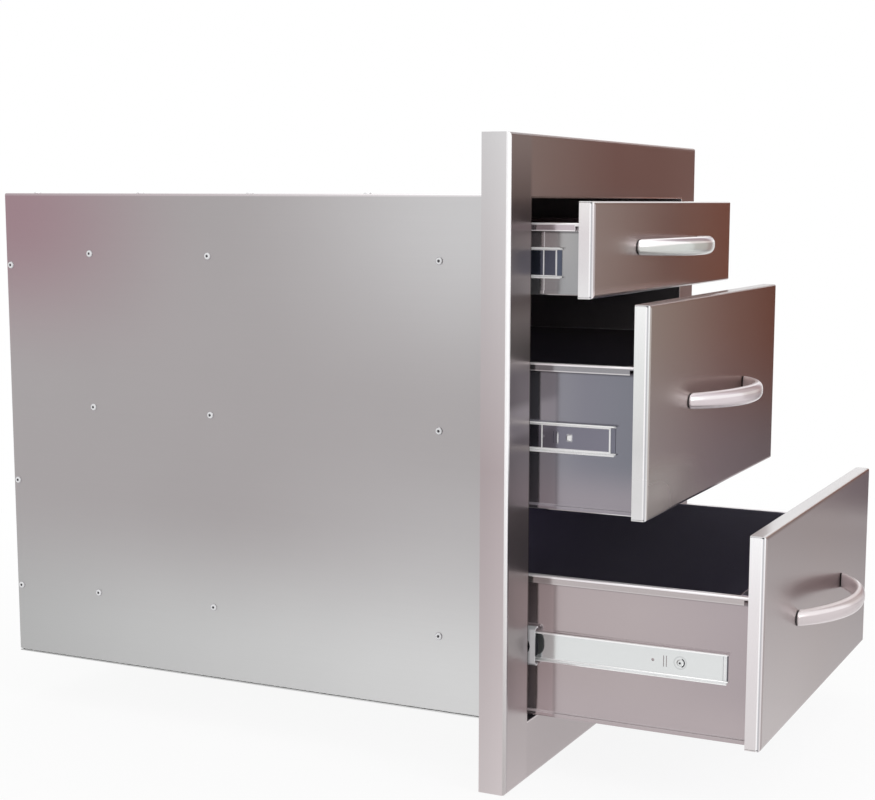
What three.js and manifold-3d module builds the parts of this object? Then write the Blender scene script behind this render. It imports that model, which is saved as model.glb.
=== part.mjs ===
// Built-in outdoor kitchen drawer unit: a stainless steel trim frame, a riveted
// sheet metal case behind it, and three drawers on full extension ball slides.
//
// X runs to the right, Y from the front to the back, Z up. The origin is on the
// underside of the case, on its centre line, in the plane of the trim frame's rear
// face, where the sill of the cut-out meets the wall. All lengths are millimetres.

import * as THREE from 'three';
import Module from 'manifold-3d';
import { mergeVertices } from 'three/addons/utils/BufferGeometryUtils.js';

// Trim frame
const frameWidth = 533.4;
const frameHeight = 609.6;
const frameReturn = 27.7;
const frameLip = 12;
const frameSheet = 1.2;
const frameBend = 3.8;
const openingWidth = 436;
const openingHeight = 495.2;
const openingLip = 0.8;
const openingLipDepth = 1.3;

// Case behind the frame
const unitDepth = 609.6;
const caseSheet = 1.2;
const caseBend = 2;
const caseFlange = 12;
const backFlange = 15;

// Drawer fronts, each a folded skin closed by a liner
const topFrontHeight = 88;
const sideGap = 4.75;
const sillGap = 2.4;
const frontGap = 3.6;
const frontDepth = 14.9;
const frontSheet = 1;
const frontBend = 3.2;
const linerFlange = 8;
const linerBend = 1.6;
const cornerHoleRadius = 0.9;
const cornerSlit = 0.35;

// Drawer boxes
const boxSheet = 1;
const boxBend = 0.9;
const boxLength = 530;
const boxLift = 2.5;
const topBoxHeight = 66;
const tallBoxHeight = 138;
const rimWidth = 6.5;
const rimDrop = 7.5;
const rimNotchLength = 4;
const rimNotchHeight = 4.5;
const hemHeight = 4;
const endFlange = 10;
const floorFlange = 6;

// Bow handles
const handleSpan = 200;
const handleReach = 41;
const handleThickness = 8.6;
const handleHeight = 18.6;
const handleFootHeight = 14.8;
const handleCrown = 6.4;
const handleEdge = 1.3;
const studInset = 8;
const studRadius = 2.5;
const studLength = 9;
const nutRadius = 4.6;
const nutHeight = 3.2;

// Ball slides
const slideThickness = 12.7;
const slideHeight = 45.6;
const slideLength = 500;
const slideSetback = 33.5;
const topSlideHeight = 29.5;
const tallSlideHeight = 69;
const stageTravel = 250;
const railSheet = 1.2;
const ballRadius = 2;
const ballPitch = 99;
const ballsInRow = 3;
const raceClearance = 0.15;
const raceStep = 42;
const railBend = 1.2;
const middleRailOffset = 2.3;
const middleRailShort = 10;
const webHoleRadius = 9;
const webHoleInset = 14;
const cageSheet = 0.5;
const outerCageOffset = 1.15;
const innerCageOffset = 3.6;
const cageTongue = 40;
const tongueHeight = 24;
const tongueCorner = 9;
const cageMargin = 10;

// Punched features of the drawer rail, measured back from its front end
const webNotch = 5;
const railScrewPlaces = [45.4, 418.5];
const slitPlaces = [58.6, 61.3];
const slitWidth = 0.8;
const slitHeight = 10.5;
const pilotPlace = 71.7;
const pilotRadius = 1.5;

// Blind rivets and the screws of the rails
const rivetRadius = 2.4;
const rivetHeadRadius = 3.6;
const rivetCrownRadius = 2.2;
const rivetHeadHeight = 1.2;
const slideRivetPlaces = [59.5, 319.5, 466.5];
const topRivetCount = 4;
const topRivetSpacing = 132.7;
const topRivetFromBack = 39;
const backRivetHeights = [74.4, 191.4, 424.4];
const backRivetFromBack = 5;

// Clearances
const seam = 0.2;
const seat = 0.1;
const holeClearance = 0.3;
const overrun = 5;
const weld = 1e-4;

// How far each drawer and its middle rails stand out, from top to bottom
const drawerNames = ['top', 'middle', 'bottom'];
const drawerOpening = [59.6, 114.5, 226];
const stageOpening = [0, 0, 40];

// Facets of the round shapes
const bendSteps = 3;
const raceSteps = 4;
const roundSides = 8;
const largeHoleSides = 12;
const nutSides = 6;
const bowSteps = 12;
const crownSteps = 3;
const mitreLimitShare = 0.5;

// Places that follow from the sizes above
const insideHalf = openingWidth / 2;
const frontPlane = -frameReturn;
const backPlane = unitDepth - frameReturn;
const caseFront = frontPlane + frameSheet + seam;
const sillHeight = 2 * caseSheet + seam;
const headHeight = sillHeight + openingHeight;
const caseOuterHalf = insideHalf + caseSheet;
const caseTop = headHeight + 2 * caseSheet + seam;
const slideFront = frontPlane + slideSetback;
const frontWidth = openingWidth - 2 * sideGap;
const tallFrontHeight = (openingHeight - sillGap - 3 * frontGap - topFrontHeight) / 2;
const frontHeights = [topFrontHeight, tallFrontHeight, tallFrontHeight];
const boxHeights = [topBoxHeight, tallBoxHeight, tallBoxHeight];
const slideHeights = [topSlideHeight, tallSlideHeight, tallSlideHeight];
const frontBottoms = [
  sillHeight + sillGap + 2 * (tallFrontHeight + frontGap),
  sillHeight + sillGap + tallFrontHeight + frontGap,
  sillHeight + sillGap,
];
const slideCentres = frontBottoms.map((bottom, i) => bottom + boxLift + slideHeights[i]);
const boxOuterHalf = insideHalf - slideThickness;
const boxInnerHalf = boxOuterHalf - boxSheet;
const boxFront = frontDepth + seam;
const bendClear = caseBend - caseSheet + seam;

const wasm = await Module();
wasm.setup();

// Turns a closed geometry into a solid for cutting and joining.
function solid(geometry) {
  const bare = geometry.index ? geometry.toNonIndexed() : geometry.clone();
  for (const name of Object.keys(bare.attributes)) {
    if (name !== 'position') bare.deleteAttribute(name);
  }
  const merged = mergeVertices(bare, weld);
  return new wasm.Manifold(new wasm.Mesh({
    numProp: 3,
    vertProperties: new Float32Array(merged.attributes.position.array),
    triVerts: new Uint32Array(merged.index.array),
  }));
}

// Turns a solid back into a geometry that a mesh can show.
function surface(body) {
  const mesh = body.getMesh();
  const geometry = new THREE.BufferGeometry();
  const position = new THREE.BufferAttribute(new Float32Array(mesh.vertProperties), 3);
  geometry.setAttribute('position', position);
  geometry.setIndex(new THREE.BufferAttribute(new Uint32Array(mesh.triVerts), 1));
  geometry.computeVertexNormals();
  return geometry;
}

// A box between two corners.
function block(x0, x1, y0, y1, z0, z1) {
  const geometry = new THREE.BoxGeometry(x1 - x0, y1 - y0, z1 - z0);
  geometry.translate((x0 + x1) / 2, (y0 + y1) / 2, (z0 + z1) / 2);
  return solid(geometry);
}

// An outline in X and Z, extruded along Y.
function alongY(points, front, back) {
  const geometry = new THREE.ExtrudeGeometry(new THREE.Shape(points), {
    depth: back - front,
    bevelEnabled: false,
  });
  geometry.rotateX(Math.PI / 2);
  geometry.translate(0, back, 0);
  return solid(geometry);
}

// An outline in X and Y, extruded along Z.
function alongZ(points, bottom, top) {
  const geometry = new THREE.ExtrudeGeometry(new THREE.Shape(points), {
    depth: top - bottom,
    bevelEnabled: false,
  });
  geometry.translate(0, 0, bottom);
  return solid(geometry);
}

// An outline in Y and Z, extruded along X.
function alongX(points, left, right) {
  const geometry = new THREE.ExtrudeGeometry(new THREE.Shape(points), {
    depth: right - left,
    bevelEnabled: false,
  });
  const turn = new THREE.Matrix4().makeBasis(
    new THREE.Vector3(0, 1, 0),
    new THREE.Vector3(0, 0, 1),
    new THREE.Vector3(1, 0, 0),
  );
  geometry.applyMatrix4(turn);
  geometry.translate(left, 0, 0);
  return solid(geometry);
}

// A round bar along X.
function barX(radius, left, right, y, z, sides) {
  const geometry = new THREE.CylinderGeometry(radius, radius, right - left, sides);
  geometry.rotateZ(Math.PI / 2);
  geometry.translate((left + right) / 2, y, z);
  return solid(geometry);
}

// A round bar along Z.
function barZ(radius, x, y, bottom, top, sides) {
  const geometry = new THREE.CylinderGeometry(radius, radius, top - bottom, sides);
  geometry.rotateX(Math.PI / 2);
  geometry.translate(x, y, (bottom + top) / 2);
  return solid(geometry);
}

// Points of an arc, with its angles in degrees.
function arc(centre, radius, from, to, steps) {
  const points = [];
  for (let i = 0; i <= steps; i += 1) {
    const angle = THREE.MathUtils.degToRad(from + (to - from) * i / steps);
    points.push(new THREE.Vector2(
      centre.x + radius * Math.cos(angle),
      centre.y + radius * Math.sin(angle),
    ));
  }
  return points;
}

// Rounds the inner corners of an open line, as a folding press does to a sheet.
function folded(corners, radius) {
  const points = [corners[0]];
  for (let i = 1; i < corners.length - 1; i += 1) {
    const into = corners[i].clone().sub(corners[i - 1]).normalize();
    const out = corners[i + 1].clone().sub(corners[i]).normalize();
    const turn = into.cross(out);
    const start = corners[i].clone().addScaledVector(into, -radius);
    const side = new THREE.Vector2(-into.y, into.x).multiplyScalar(Math.sign(turn));
    const centre = start.clone().addScaledVector(side, radius);
    const from = THREE.MathUtils.radToDeg(Math.atan2(-side.y, -side.x));
    points.push(...arc(centre, radius, from, from + 90 * Math.sign(turn), bendSteps));
  }
  points.push(corners[corners.length - 1]);
  return points;
}

// Gives an open centre line the thickness of its sheet.
function thickened(centreLine, sheet) {
  const left = [];
  const right = [];
  centreLine.forEach((point, i) => {
    const before = centreLine[Math.max(i - 1, 0)];
    const after = centreLine[Math.min(i + 1, centreLine.length - 1)];
    const into = point.clone().sub(before).normalize();
    const out = after.clone().sub(point).normalize();
    if (i === 0) into.copy(out);
    if (i === centreLine.length - 1) out.copy(into);
    const normal = new THREE.Vector2(-into.y - out.y, into.x + out.x).normalize();
    const spread = Math.max(normal.x * -into.y + normal.y * into.x, mitreLimitShare);
    const reach = sheet / 2 / spread;
    left.push(point.clone().addScaledVector(normal, reach));
    right.unshift(point.clone().addScaledVector(normal, -reach));
  });
  return [...left, ...right];
}

// The outline of a folded sheet through given corners.
function sheetOutline(corners, sheet, bend) {
  const vectors = corners.map(([x, y]) => new THREE.Vector2(x, y));
  return thickened(folded(vectors, bend), sheet);
}

// A block with bends along the four edges of its front face, which is at Y = 0.
function bentBlock(width, height, depth, bend) {
  const half = width / 2;
  const across = [
    new THREE.Vector2(-half, depth),
    ...arc(new THREE.Vector2(-half + bend, bend), bend, 180, 270, bendSteps),
    ...arc(new THREE.Vector2(half - bend, bend), bend, 270, 360, bendSteps),
    new THREE.Vector2(half, depth),
  ];
  const upright = [
    new THREE.Vector2(depth, 0),
    ...arc(new THREE.Vector2(bend, bend), bend, 270, 180, bendSteps),
    ...arc(new THREE.Vector2(bend, height - bend), bend, 180, 90, bendSteps),
    new THREE.Vector2(depth, height),
  ];
  return alongZ(across, 0, height).intersect(alongX(upright, -half, half));
}

// A tray folded from one sheet: a face at Y = 0 with returns along its four edges.
function foldedTray(width, height, depth, sheet, bend) {
  const outside = bentBlock(width, height, depth, bend);
  const inside = bentBlock(width - 2 * sheet, height - 2 * sheet, depth, bend - sheet);
  return outside.subtract(inside.translate([0, sheet, sheet]));
}

// A blind rivet along X with its head on the side of lower X. Its tail ends at X = 0.
function rivet(grip) {
  const head = -grip;
  const profile = [
    new THREE.Vector2(0, head - rivetHeadHeight),
    new THREE.Vector2(rivetCrownRadius, head - rivetHeadHeight),
    new THREE.Vector2(rivetHeadRadius, head),
    new THREE.Vector2(rivetRadius, head),
    new THREE.Vector2(rivetRadius, 0),
    new THREE.Vector2(0, 0),
  ];
  const geometry = new THREE.LatheGeometry(profile, roundSides);
  geometry.rotateZ(-Math.PI / 2);
  return solid(geometry);
}

// Materials: satin stainless steel, zinc plated rails, plastic cages, dark lining
const brushedSteel = { color: 0xb9b6b3, roughness: 0.34, metalness: 1 };
const frontSteel = { color: 0xaaa19d, roughness: 0.3, metalness: 1 };
const satinSteel = { color: 0xd2cfcf, roughness: 0.28, metalness: 1 };
const zincPlate = { color: 0xd8dcdd, roughness: 0.3, metalness: 1 };
const boxSteel = { color: 0xa39c9e, roughness: 0.36, metalness: 1 };
const cagePlastic = { color: 0x1c1c20, roughness: 0.55, metalness: 0 };

// A named piece at a place in its group.
function piece(group, name, body, finish, place = [0, 0, 0], turn = [0, 0, 0]) {
  const mesh = new THREE.Mesh(surface(body), new THREE.MeshStandardMaterial(finish));
  mesh.name = name;
  mesh.position.set(...place);
  mesh.rotation.set(...turn);
  group.add(mesh);
}

// The trim frame: a folded face with returns, a rear lip and the drawer opening.
function trimFrame() {
  const tray = foldedTray(frameWidth, frameHeight, frameReturn, frameSheet, frameBend);
  const half = frameWidth / 2 - frameSheet / 2;
  const lipPlate = block(-half, half, frameReturn - frameSheet, frameReturn,
    frameSheet / 2, frameHeight - frameSheet / 2);
  const lipHalf = frameWidth / 2 - frameLip;
  const lipHole = block(-lipHalf, lipHalf, 0, frameReturn + overrun,
    frameLip, frameHeight - frameLip);
  const border = (frameHeight - openingHeight) / 2;
  const opening = block(-insideHalf, insideHalf, -overrun, frameReturn + overrun,
    border, frameHeight - border);
  const lipBlank = block(-insideHalf - seam, insideHalf + seam, 0, openingLipDepth,
    border - seam, frameHeight - border + seam);
  const clear = insideHalf - openingLip;
  const passage = block(-clear, clear, -overrun, frameReturn + overrun,
    border + openingLip, frameHeight - border - openingLip);
  return tray.add(lipPlate.subtract(lipHole)).subtract(opening)
    .add(lipBlank.subtract(passage));
}

// Holes in the left panel for the rivets of the rails and of the back panel.
function sidePanelHoles() {
  const holes = [];
  const radius = rivetRadius + holeClearance;
  const left = -caseOuterHalf - overrun;
  for (const centre of slideCentres) {
    for (const place of slideRivetPlaces) {
      const y = slideFront + place;
      holes.push(barX(radius, left, -insideHalf + overrun, y, centre, roundSides));
    }
  }
  for (const height of backRivetHeights) {
    const y = backPlane - backRivetFromBack;
    holes.push(barX(radius, left, -insideHalf + overrun, y, height, roundSides));
  }
  return holes;
}

// Where the rivets of the top panel stand, from the front to the back.
function topRivetPlaces() {
  const places = [];
  for (let i = topRivetCount - 1; i >= 0; i -= 1) {
    places.push(backPlane - topRivetFromBack - i * topRivetSpacing);
  }
  return places;
}

// The left side of the case: a folded channel with a front flange. The right side
// is the same sheet turned over, so both are cut from one function.
function sidePanel() {
  const middle = caseOuterHalf - caseSheet / 2;
  const tip = caseOuterHalf - caseFlange;
  const low = caseSheet + seam + caseSheet / 2;
  const high = caseTop - caseSheet / 2;
  const corners = [[-tip, low], [-middle, low], [-middle, high], [-tip, high]];
  const channel = alongY(sheetOutline(corners, caseSheet, caseBend - caseSheet / 2),
    caseFront, backPlane);
  const flange = block(-caseOuterHalf - caseFlange, -insideHalf, caseFront,
    caseFront + caseSheet, sillHeight + caseBend, headHeight - caseBend);
  let panel = channel.add(flange);
  for (const hole of sidePanelHoles()) panel = panel.subtract(hole);
  for (const y of topRivetPlaces()) {
    const hole = barZ(rivetRadius + holeClearance, -topRivetX(), y, high - overrun,
      high + overrun, roundSides);
    panel = panel.subtract(hole);
  }
  return panel;
}

// How far from the centre line the rivets of the top panel stand.
function topRivetX() {
  return caseOuterHalf - caseFlange / 2;
}

// The top of the case with the rivets that hold it to the flanges of the sides.
function topPanel() {
  const half = insideHalf - bendClear;
  let panel = block(-half, half, caseFront, backPlane, headHeight, headHeight + caseSheet);
  const grip = caseSheet / 2 + seam + caseSheet + seat;
  for (const y of topRivetPlaces()) {
    for (const side of [-1, 1]) {
      const body = rivet(grip).rotate([0, 90, 0]);
      panel = panel.add(body.translate([side * topRivetX(), y, headHeight + caseSheet / 2]));
    }
  }
  return panel;
}

// The floor of the case, spot welded under the lower flanges of the sides.
function bottomPanel() {
  return block(-caseOuterHalf, caseOuterHalf, caseFront, backPlane, 0, caseSheet);
}

// The back of the case: a tray with its returns pointing forward, and its rivets.
function backPanel() {
  const width = openingWidth - 2 * seam;
  const height = openingHeight - 2 * bendClear;
  const tray = foldedTray(width, height, backFlange, caseSheet, caseBend);
  let panel = tray.rotate([0, 0, 180]).translate([0, backPlane, sillHeight + bendClear]);
  const grip = caseSheet / 2 + seam + caseSheet + seat;
  const start = width / 2 - caseSheet / 2;
  for (const place of backRivetHeights) {
    const y = backPlane - backRivetFromBack;
    panel = panel.add(rivet(grip).translate([-start, y, place]));
    panel = panel.add(rivet(grip).rotate([0, 0, 180]).translate([start, y, place]));
  }
  return panel;
}

// Centres of the balls in a slide, as the distance from the wall of the case and
// the height above the middle of the slide. Each race wraps its row of balls.
const raceRadius = ballRadius + raceClearance + railSheet / 2;
const outerBall = new THREE.Vector2(
  seat + railSheet / 2 + raceRadius,
  slideHeight / 2 - railSheet / 2 - raceRadius,
);
const innerBall = new THREE.Vector2(
  outerBall.x + 2 * raceRadius * Math.cos(THREE.MathUtils.degToRad(raceStep)),
  outerBall.y - 2 * raceRadius * Math.sin(THREE.MathUtils.degToRad(raceStep)),
);

// Mirrors the upper half of a rail's centre line and gives it its thickness.
function railOutline(upperHalf) {
  const lowerHalf = upperHalf.map((point) => new THREE.Vector2(point.x, -point.y)).reverse();
  return thickened([...lowerHalf, ...upperHalf], railSheet);
}

// The rail on the wall of the case. Its curled edges are the outer ball races.
function cabinetRail() {
  const race = arc(outerBall, raceRadius, 180, 20, raceSteps);
  let rail = alongY(railOutline(race), 0, slideLength);
  const grip = railSheet / 2 + seat + caseSheet + seat;
  for (const place of slideRivetPlaces) {
    rail = rail.add(rivet(grip).translate([seat + railSheet / 2, place, 0]));
  }
  return rail;
}

// The rail between: its S shaped edges run under the outer balls and over the inner.
function middleRail() {
  const web = middleRailOffset + railSheet / 2 + seat;
  const floor = outerBall.y - raceRadius;
  const bend = new THREE.Vector2(web + railBend, floor - railBend);
  const upper = [
    ...arc(bend, railBend, 180, 90, bendSteps),
    ...arc(outerBall, raceRadius, 290, 360 - raceStep, 2),
    ...arc(innerBall, raceRadius, 180 - raceStep, 30, raceSteps).slice(1),
  ];
  const length = slideLength - middleRailShort;
  let rail = alongY(railOutline(upper), 0, length);
  const left = web - overrun;
  for (const place of [webHoleInset, length - webHoleInset]) {
    rail = rail.subtract(barX(webHoleRadius, left, web + railSheet, place, 0, largeHoleSides));
  }
  return rail;
}

// The rail on the drawer, with its punched slits, pilot hole and screws.
function drawerRail() {
  const web = slideThickness - seat - railSheet / 2;
  const race = innerBall.y - raceRadius;
  const bend = new THREE.Vector2(web - railBend, race - railBend);
  const upper = [
    ...arc(bend, railBend, 0, 90, bendSteps),
    ...arc(innerBall, raceRadius, 270, 235, 2),
  ];
  let rail = alongY(railOutline(upper), 0, slideLength);
  rail = rail.subtract(block(web - railSheet, web + railSheet, -overrun, webNotch,
    railBend - race, race - railBend));
  for (const place of slitPlaces) {
    rail = rail.subtract(block(web - overrun, web + overrun, place - slitWidth / 2,
      place + slitWidth / 2, -slitHeight / 2, slitHeight / 2));
  }
  rail = rail.subtract(barX(pilotRadius, web - overrun, web + overrun, pilotPlace, 0, roundSides));
  const tail = slideThickness + boxSheet + seat;
  const grip = tail - (web - railSheet / 2);
  for (const place of railScrewPlaces) {
    rail = rail.add(rivet(grip).translate([tail, place, 0]));
  }
  return rail;
}

// Two rows of balls at a given centre, from a given place on.
function ballRows(centre, from) {
  const balls = [];
  for (let i = 0; i < ballsInRow; i += 1) {
    for (const side of [-1, 1]) {
      const ball = new THREE.OctahedronGeometry(ballRadius);
      ball.translate(centre.x, from + i * ballPitch, side * centre.y);
      balls.push(solid(ball));
    }
  }
  return balls;
}

const cageLength = ballPitch * (ballsInRow - 1) + 2 * cageMargin;

// The cage of the outer balls: a flat strip that holds both rows.
function outerCage() {
  const left = outerCageOffset + seat + railSheet / 2 - cageSheet / 2;
  let cage = block(left, left + cageSheet, 0, cageLength, -outerBall.y, outerBall.y);
  for (const ball of ballRows(outerBall, cageMargin)) cage = cage.add(ball);
  return cage;
}

// The cage of the inner balls: a channel with a tongue that shows past the rail.
function innerCage() {
  const web = innerCageOffset + seat + railSheet / 2;
  const arm = innerBall.y;
  const reach = innerBall.x - ballRadius / 2;
  const corners = [[reach, -arm], [web, -arm], [web, arm], [reach, arm]];
  const channel = alongY(sheetOutline(corners, cageSheet, cageSheet), -cageTongue, cageLength);
  const half = tongueHeight / 2;
  const round = new THREE.Vector2(tongueCorner - cageTongue, half - tongueCorner);
  const outline = [
    new THREE.Vector2(cageLength, arm + cageSheet),
    new THREE.Vector2(0, arm + cageSheet),
    new THREE.Vector2(0, half),
    ...arc(round, tongueCorner, 90, 180, bendSteps),
    ...arc(round.clone().setY(-round.y), tongueCorner, 180, 270, bendSteps),
    new THREE.Vector2(0, -half),
    new THREE.Vector2(0, -arm - cageSheet),
    new THREE.Vector2(cageLength, -arm - cageSheet),
  ];
  let cage = channel.intersect(alongX(outline, 0, slideThickness));
  for (const ball of ballRows(innerBall, cageMargin)) cage = cage.add(ball);
  return cage;
}

// The outer skin of a drawer front, with relief holes and seams at its corners.
function frontSkin(height) {
  let skin = foldedTray(frontWidth, height, frontDepth, frontSheet, frontBend);
  const half = frontWidth / 2;
  const seamHeight = frontSheet + cornerSlit / 2;
  for (const side of [-1, 1]) {
    const near = side < 0 ? -half - overrun : half - frontSheet - seam;
    const far = near + overrun + frontSheet + seam;
    for (const z of [seamHeight, height - seamHeight]) {
      skin = skin.subtract(barX(cornerHoleRadius, near, far, frontBend, z, roundSides));
      skin = skin.subtract(block(near, far, frontBend, frontDepth + overrun,
        z - cornerSlit / 2, z + cornerSlit / 2));
    }
    skin = skin.subtract(studHole(side, height));
  }
  return skin;
}

// Where a handle's stud stands, from the middle of the front.
const studX = handleSpan / 2 - studInset;

// The hole in the skin for one stud of the handle.
function studHole(side, height) {
  const geometry = new THREE.CylinderGeometry(studRadius + holeClearance,
    studRadius + holeClearance, 2 * overrun, roundSides);
  geometry.translate(side * studX, 0, height / 2);
  return solid(geometry);
}

// The liner that closes the back of a front, with its flanges inside the returns.
function frontLiner(height) {
  const margin = 2 * (frontSheet + seam);
  const tray = foldedTray(frontWidth - margin, height - margin, linerFlange, frontSheet,
    linerBend);
  return tray.rotate([0, 0, 180]).translate([0, frontDepth, margin / 2]);
}

// A side of a drawer box with its rim folded out at the top and a hem at the foot.
function boxSide(side, height) {
  const wall = boxOuterHalf - boxSheet / 2;
  const hem = boxOuterHalf + seam + boxSheet / 2;
  const rim = wall + rimWidth;
  const low = boxSheet / 2;
  const high = height - boxSheet / 2;
  const hemRadius = (hem - wall) / 2;
  const hemTurn = arc(new THREE.Vector2(hem - hemRadius, low + hemRadius), hemRadius,
    0, -180, bendSteps);
  const rimTurns = folded([
    new THREE.Vector2(wall, low + hemRadius),
    new THREE.Vector2(wall, high),
    new THREE.Vector2(rim, high),
    new THREE.Vector2(rim, height - rimDrop),
  ], boxBend);
  const line = [new THREE.Vector2(hem, hemHeight), ...hemTurn, ...rimTurns.slice(1)];
  const outline = thickened(line, boxSheet).map((p) => new THREE.Vector2(side * p.x, p.y));
  let panel = alongY(outline, boxFront, boxFront + boxLength);
  const rimSides = [side * (rim - boxSheet), side * (rim + boxSheet)];
  const rimFoot = height - rimDrop;
  panel = panel.subtract(block(Math.min(...rimSides), Math.max(...rimSides),
    boxFront - overrun, boxFront + rimNotchLength, rimFoot - overrun, rimFoot + rimNotchHeight));
  const centre = height > topBoxHeight ? tallSlideHeight : topSlideHeight;
  for (const place of railScrewPlaces) {
    panel = panel.subtract(barX(rivetRadius + holeClearance, side * wall - overrun,
      side * wall + overrun, slideSetback + place, centre, roundSides));
  }
  return panel;
}

// An end wall of a drawer box: a plate whose flanges lie along the box sides.
function boxEnd(plate, tip, bottom, top) {
  const half = boxInnerHalf - seam - boxSheet / 2;
  const inset = plate < tip ? boxSheet / 2 : -boxSheet / 2;
  const corners = [[-half, tip], [-half, plate + inset], [half, plate + inset], [half, tip]];
  return alongZ(sheetOutline(corners, boxSheet, boxBend), bottom, top);
}

// The floor of a drawer box: a plate with its four edges folded down.
function boxFloor() {
  const width = 2 * (boxInnerHalf - seam);
  const tray = foldedTray(width, boxLength, floorFlange, boxSheet, boxBend + boxSheet / 2);
  return tray.rotate([-90, 0, 0]).translate([0, boxFront, floorFlange]);
}

// The bow of the handle, seen from above, as the crown of its bar.
class Bow extends THREE.Curve {
  getPoint(t, target = new THREE.Vector3()) {
    const angle = (2 * t - 1) * bowAngle;
    return target.set(bowRadius * Math.sin(angle), bowCentre - bowRadius * Math.cos(angle), 0);
  }
}

const bowRadius = ((handleSpan / 2) ** 2 + handleReach ** 2) / (2 * handleReach);
const bowCentre = bowRadius - handleReach;
const bowAngle = Math.asin(handleSpan / 2 / bowRadius) + handleThickness / bowRadius;

// The bar is lower at its two feet than in the middle.
function narrowed(geometry) {
  const place = geometry.attributes.position;
  const footShare = handleFootHeight / handleHeight;
  for (let i = 0; i < place.count; i += 1) {
    const fromMiddle = place.getX(i) / (handleSpan / 2);
    const swell = Math.max(1 - fromMiddle * fromMiddle, 0);
    place.setZ(i, place.getZ(i) * (footShare + (1 - footShare) * swell));
  }
  return geometry;
}

// The section of the handle: a flat inner face and a crowned outer one.
function handleSection() {
  const half = handleHeight / 2;
  const shape = new THREE.Shape();
  shape.moveTo(-half, handleThickness - handleEdge);
  shape.lineTo(-half, handleCrown);
  shape.quadraticCurveTo(-half, 0, 0, 0);
  shape.quadraticCurveTo(half, 0, half, handleCrown);
  shape.lineTo(half, handleThickness - handleEdge);
  shape.lineTo(half - handleEdge, handleThickness);
  shape.lineTo(-half + handleEdge, handleThickness);
  return shape;
}

// A bow handle cut off flush with the front, with its two studs and nuts.
function handle() {
  const bar = new THREE.ExtrudeGeometry(handleSection(), {
    extrudePath: new Bow(),
    steps: bowSteps,
    curveSegments: crownSteps,
    bevelEnabled: false,
  });
  const reach = handleSpan;
  const ahead = block(-reach, reach, -reach, -seam, -reach, reach);
  let body = solid(narrowed(bar)).intersect(ahead);
  for (const side of [-1, 1]) {
    const stud = new THREE.CylinderGeometry(studRadius, studRadius, studLength, roundSides);
    stud.translate(side * studX, studLength / 2 - nutHeight, 0);
    const nut = new THREE.CylinderGeometry(nutRadius, nutRadius, nutHeight, nutSides);
    nut.translate(side * studX, frontSheet + seam + nutHeight / 2, 0);
    body = body.add(solid(stud)).add(solid(nut));
  }
  return body;
}

// The five pieces of one slide. In its group X runs from the wall to the drawer.
function addSlide(parent, name, side, height, opening, stage) {
  const slide = new THREE.Group();
  slide.position.set(side * insideHalf, slideFront, height);
  slide.rotation.y = side < 0 ? 0 : Math.PI;
  const cageFront = stageTravel / 2 + cageMargin / 2;
  const innerTravel = (opening + stage) / 2;
  piece(slide, `${name}_cabinet_rail`, parts.cabinetRail, zincPlate);
  piece(slide, `${name}_outer_ball_cage`, parts.outerCage, zincPlate,
    [0, cageFront - stage / 2, 0]);
  piece(slide, `${name}_middle_rail`, parts.middleRail, zincPlate, [0, -stage, 0]);
  piece(slide, `${name}_inner_ball_cage`, parts.innerCage, cagePlastic,
    [0, cageFront - innerTravel, 0]);
  piece(slide, `${name}_drawer_rail`, parts.drawerRail, zincPlate, [0, -opening, 0]);
  parent.add(slide);
}

// One drawer: skin, liner and handle in front, and the box behind them.
function addDrawer(parent, name, frontHeight, boxHeight, bottom, opening) {
  const drawer = new THREE.Group();
  drawer.position.set(0, frontPlane - opening, bottom);
  piece(drawer, `${name}_drawer_front_skin`, frontSkin(frontHeight), frontSteel);
  piece(drawer, `${name}_drawer_front_liner`, frontLiner(frontHeight), frontSteel);
  piece(drawer, `${name}_drawer_handle`, handle(), satinSteel, [0, 0, frontHeight / 2]);
  const box = new THREE.Group();
  box.position.set(0, 0, boxLift);
  const rear = boxFront + boxLength;
  const foot = floorFlange + seam;
  piece(box, `${name}_drawer_left_side`, boxSide(-1, boxHeight), boxSteel);
  piece(box, `${name}_drawer_right_side`, boxSide(1, boxHeight), boxSteel);
  piece(box, `${name}_drawer_box_front`,
    boxEnd(boxFront + endFlange, boxFront, foot, boxHeight), boxSteel);
  piece(box, `${name}_drawer_box_back`,
    boxEnd(rear - endFlange, rear, foot, boxHeight), boxSteel);
  piece(box, `${name}_drawer_floor`, boxFloor(), boxSteel);
  drawer.add(box);
  parent.add(drawer);
}

const parts = {
  cabinetRail: cabinetRail(),
  middleRail: middleRail(),
  drawerRail: drawerRail(),
  outerCage: outerCage(),
  innerCage: innerCage(),
};

const unit = new THREE.Group();
const frameBottom = sillHeight - (frameHeight - openingHeight) / 2;
const leftPanel = sidePanel();
piece(unit, 'front_frame', trimFrame(), frontSteel, [0, frontPlane, frameBottom]);
piece(unit, 'case_left_panel', leftPanel, brushedSteel);
piece(unit, 'case_right_panel', leftPanel.mirror([1, 0, 0]), brushedSteel);
piece(unit, 'case_top_panel', topPanel(), brushedSteel);
piece(unit, 'case_bottom_panel', bottomPanel(), brushedSteel);
piece(unit, 'case_back_panel', backPanel(), brushedSteel);
drawerNames.forEach((name, i) => {
  const opening = drawerOpening[i];
  addDrawer(unit, name, frontHeights[i], boxHeights[i], frontBottoms[i], opening);
  addSlide(unit, `${name}_left`, -1, slideCentres[i], opening, stageOpening[i]);
  addSlide(unit, `${name}_right`, 1, slideCentres[i], opening, stageOpening[i]);
});

export default unit;
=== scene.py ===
import math

import bmesh
import bpy
from mathutils import Matrix, Vector


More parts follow.
